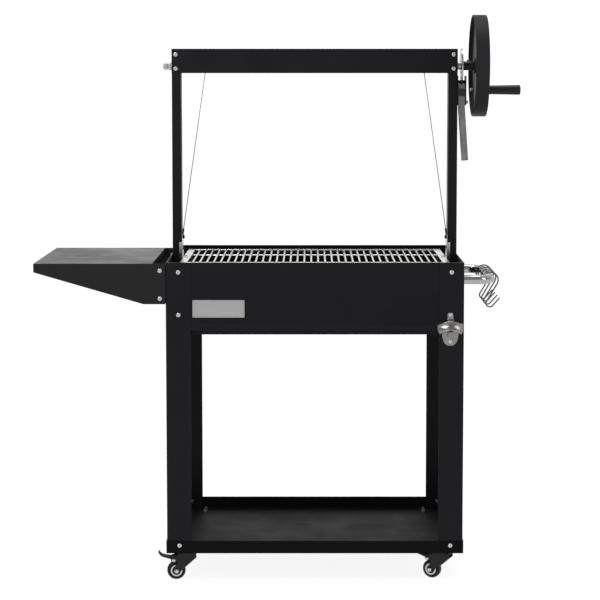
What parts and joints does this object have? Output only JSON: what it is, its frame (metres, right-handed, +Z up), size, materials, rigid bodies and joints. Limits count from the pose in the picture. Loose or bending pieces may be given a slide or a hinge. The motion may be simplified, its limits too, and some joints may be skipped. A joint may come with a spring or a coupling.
{
  "type": "charcoal grill cart",
  "caption": "Wheeled charcoal grill cart with a rod grate hung on wire ropes from an overhead beam and raised by a handwheel winch with a brake; side shelf, lower tray, hook rail and casters.",
  "frame": {"origin": "on the floor, under the middle of the whole object: shelf tip to grip end, opener to rear screws", "axes": "+Z up, +X to the right of a cook who stands at the front, +Y to the back"},
  "size_m": [1.3056, 0.5789, 1.502],
  "materials": {
    "powder_black": "satin black powder coat",
    "shelf_black": "semi-gloss black powder coat",
    "tray_black": "satin black powder coat",
    "handwheel_black": "smooth black enamel",
    "grate_steel": "bright stainless rod",
    "stainless_tube": "polished stainless tube",
    "hook_wire": "polished wire",
    "zinc_screw": "bright zinc plate",
    "galvanised": "grey zinc",
    "brake_steel": "turned steel",
    "cast_black": "rough cast",
    "plate_metal": "brushed",
    "opener_metal": "satin nickel",
    "rope_steel": "galvanised wire rope",
    "black_fitting": "black oxide",
    "grip_plastic": "fine-grained",
    "caster_black": "black zinc",
    "wheel_nylon": "moulded nylon",
    "bush_bronze": "sintered"
  },
  "bodies": {
    "cart": {"bottle_opener": "opener_metal", "brake_bracket": "black_fitting", "brake_pivot": "zinc_screw", "caster_plates": "caster_black", "charcoal_grate": "cast_black", "firebox_tray": "powder_black", "frame_bolts": "zinc_screw", "front_panel": "powder_black", "hook_rail": "stainless_tube", "left_lift_rope": "rope_steel", "left_post": "powder_black", "left_side_panel": "powder_black", "leg_front_left": "powder_black", "leg_front_right": "powder_black", "leg_rear_left": "powder_black", "leg_rear_right": "powder_black", "lower_tray": "tray_black", "nameplate": "plate_metal", "opener_screws": "zinc_screw", "rear_panel": "powder_black", "right_lift_rope": "rope_steel", "right_post": "powder_black", "right_side_panel": "powder_black", "shaft_bushes": "bush_bronze", "shelf_bolts": "zinc_screw", "shelf_brackets": "powder_black", "side_shelf": "shelf_black", "top_beam": "powder_black", "tray_bolts": "zinc_screw"},
    "carriage": {"cooking_grate": "grate_steel", "grate_rails": "grate_steel", "right_hanger": "grate_steel", "left_hanger": "grate_steel", "rope_ends": "black_fitting", "grate_screws": "zinc_screw"},
    "winch": {"winch_shaft": "brake_steel", "rope_drums": "galvanised", "shaft_nuts": "zinc_screw", "brake_disc": "brake_steel", "handwheel": "handwheel_black", "hub_collar": "black_fitting", "hub_set_screw": "zinc_screw", "grip_pin": "zinc_screw"},
    "crank_grip": {"crank_grip": "grip_plastic"},
    "brake_lever": {"brake_lever": "galvanised", "brake_cam": "galvanised"},
    "caster_fork_front_left": {"caster_fork_front_left": "caster_black"},
    "caster_wheel_front_left": {"caster_wheel_front_left": "wheel_nylon"},
    "caster_fork_front_right": {"caster_fork_front_right": "caster_black"},
    "caster_wheel_front_right": {"caster_wheel_front_right": "wheel_nylon"},
    "caster_fork_rear_left": {"caster_fork_rear_left": "caster_black"},
    "caster_wheel_rear_left": {"caster_wheel_rear_left": "wheel_nylon"},
    "caster_fork_rear_right": {"caster_fork_rear_right": "caster_black"},
    "caster_wheel_rear_right": {"caster_wheel_rear_right": "wheel_nylon"},
    "caster_pedal_front_left": {"caster_pedal_front_left": "caster_black"},
    "caster_pedal_front_right": {"caster_pedal_front_right": "caster_black"},
    "s_hook_1": {"s_hook_1": "hook_wire"},
    "s_hook_2": {"s_hook_2": "hook_wire"},
    "s_hook_3": {"s_hook_3": "hook_wire"},
    "s_hook_4": {"s_hook_4": "hook_wire"}
  },
  "joints": [
    {"name": "handwheel_turn", "type": "hinge", "parent": "cart", "child": "winch", "pos_m": [0.08225, 0.01225, 1.364], "axis": [-1, 0, 0], "range_deg": [0, 1666.79]},
    {"name": "grate_lift", "type": "slide", "parent": "cart", "child": "carriage", "axis": [0, 0, 1], "range_m": [0, 0.4], "deforming": ["left_lift_rope", "right_lift_rope"]},
    {"name": "crank_grip_spin", "type": "hinge", "parent": "winch", "child": "crank_grip", "pos_m": [0.5905, 0.10625, 1.298], "axis": [1, 0, 0], "continuous": true},
    {"name": "brake_release", "type": "hinge", "parent": "cart", "child": "brake_lever", "pos_m": [0.48265, 0.01225, 1.265], "axis": [-1, 0, 0], "range_deg": [0, 25]},
    {"name": "caster_swivel_front_left", "type": "hinge", "parent": "cart", "child": "caster_fork_front_left", "pos_m": [-0.25775, -0.21275, 0.07], "axis": [0, 0, 1], "continuous": true},
    {"name": "caster_roll_front_left", "type": "hinge", "parent": "caster_fork_front_left", "child": "caster_wheel_front_left", "pos_m": [-0.28664, -0.21528, 0.0246], "axis": [0.0872, -0.9962, 0], "continuous": true},
    {"name": "pedal_press_front_left", "type": "hinge", "parent": "caster_fork_front_left", "child": "caster_pedal_front_left", "pos_m": [-0.29411, -0.21593, 0.0545], "axis": [0.0872, -0.9962, 0], "range_deg": [0, 12]},
    {"name": "caster_swivel_front_right", "type": "hinge", "parent": "cart", "child": "caster_fork_front_right", "pos_m": [0.42225, -0.21275, 0.07], "axis": [0, 0, 1], "continuous": true},
    {"name": "caster_roll_front_right", "type": "hinge", "parent": "caster_fork_front_right", "child": "caster_wheel_front_right", "pos_m": [0.39641, -0.19958, 0.0246], "axis": [-0.454, -0.891, 0], "continuous": true},
    {"name": "pedal_press_front_right", "type": "hinge", "parent": "caster_fork_front_right", "child": "caster_pedal_front_right", "pos_m": [0.38973, -0.19618, 0.0545], "axis": [-0.454, -0.891, 0], "range_deg": [0, 12]},
    {"name": "caster_swivel_rear_left", "type": "hinge", "parent": "cart", "child": "caster_fork_rear_left", "pos_m": [-0.25775, 0.23725, 0.07], "axis": [0, 0, 1], "continuous": true},
    {"name": "caster_roll_rear_left", "type": "hinge", "parent": "caster_fork_rear_left", "child": "caster_wheel_rear_left", "pos_m": [-0.22938, 0.24328, 0.0246], "axis": [-0.2079, 0.9781, 0], "continuous": true},
    {"name": "caster_swivel_rear_right", "type": "hinge", "parent": "cart", "child": "caster_fork_rear_right", "pos_m": [0.42225, 0.23725, 0.07], "axis": [0, 0, 1], "continuous": true},
    {"name": "caster_roll_rear_right", "type": "hinge", "parent": "caster_fork_rear_right", "child": "caster_wheel_rear_right", "pos_m": [0.395, 0.22733, 0.0246], "axis": [0.342, -0.9397, 0], "continuous": true},
    {"name": "hook_swing_1", "type": "hinge", "parent": "cart", "child": "s_hook_1", "pos_m": [0.55425, -0.09075, 0.794], "axis": [0, 1, 0], "range_deg": [-25, 25]},
    {"name": "hook_swing_2", "type": "hinge", "parent": "cart", "child": "s_hook_2", "pos_m": [0.55425, -0.02225, 0.794], "axis": [0, 1, 0], "range_deg": [-25, 25]},
    {"name": "hook_swing_3", "type": "hinge", "parent": "cart", "child": "s_hook_3", "pos_m": [0.55425, 0.04675, 0.794], "axis": [0, 1, 0], "range_deg": [-25, 25]},
    {"name": "hook_swing_4", "type": "hinge", "parent": "cart", "child": "s_hook_4", "pos_m": [0.55425, 0.11525, 0.794], "axis": [0, 1, 0], "range_deg": [-25, 25]}
  ],
  "couplings": [
    {"joint": "grate_lift", "follows": "handwheel_turn", "m_per_rad": 0.01375}
  ]
}
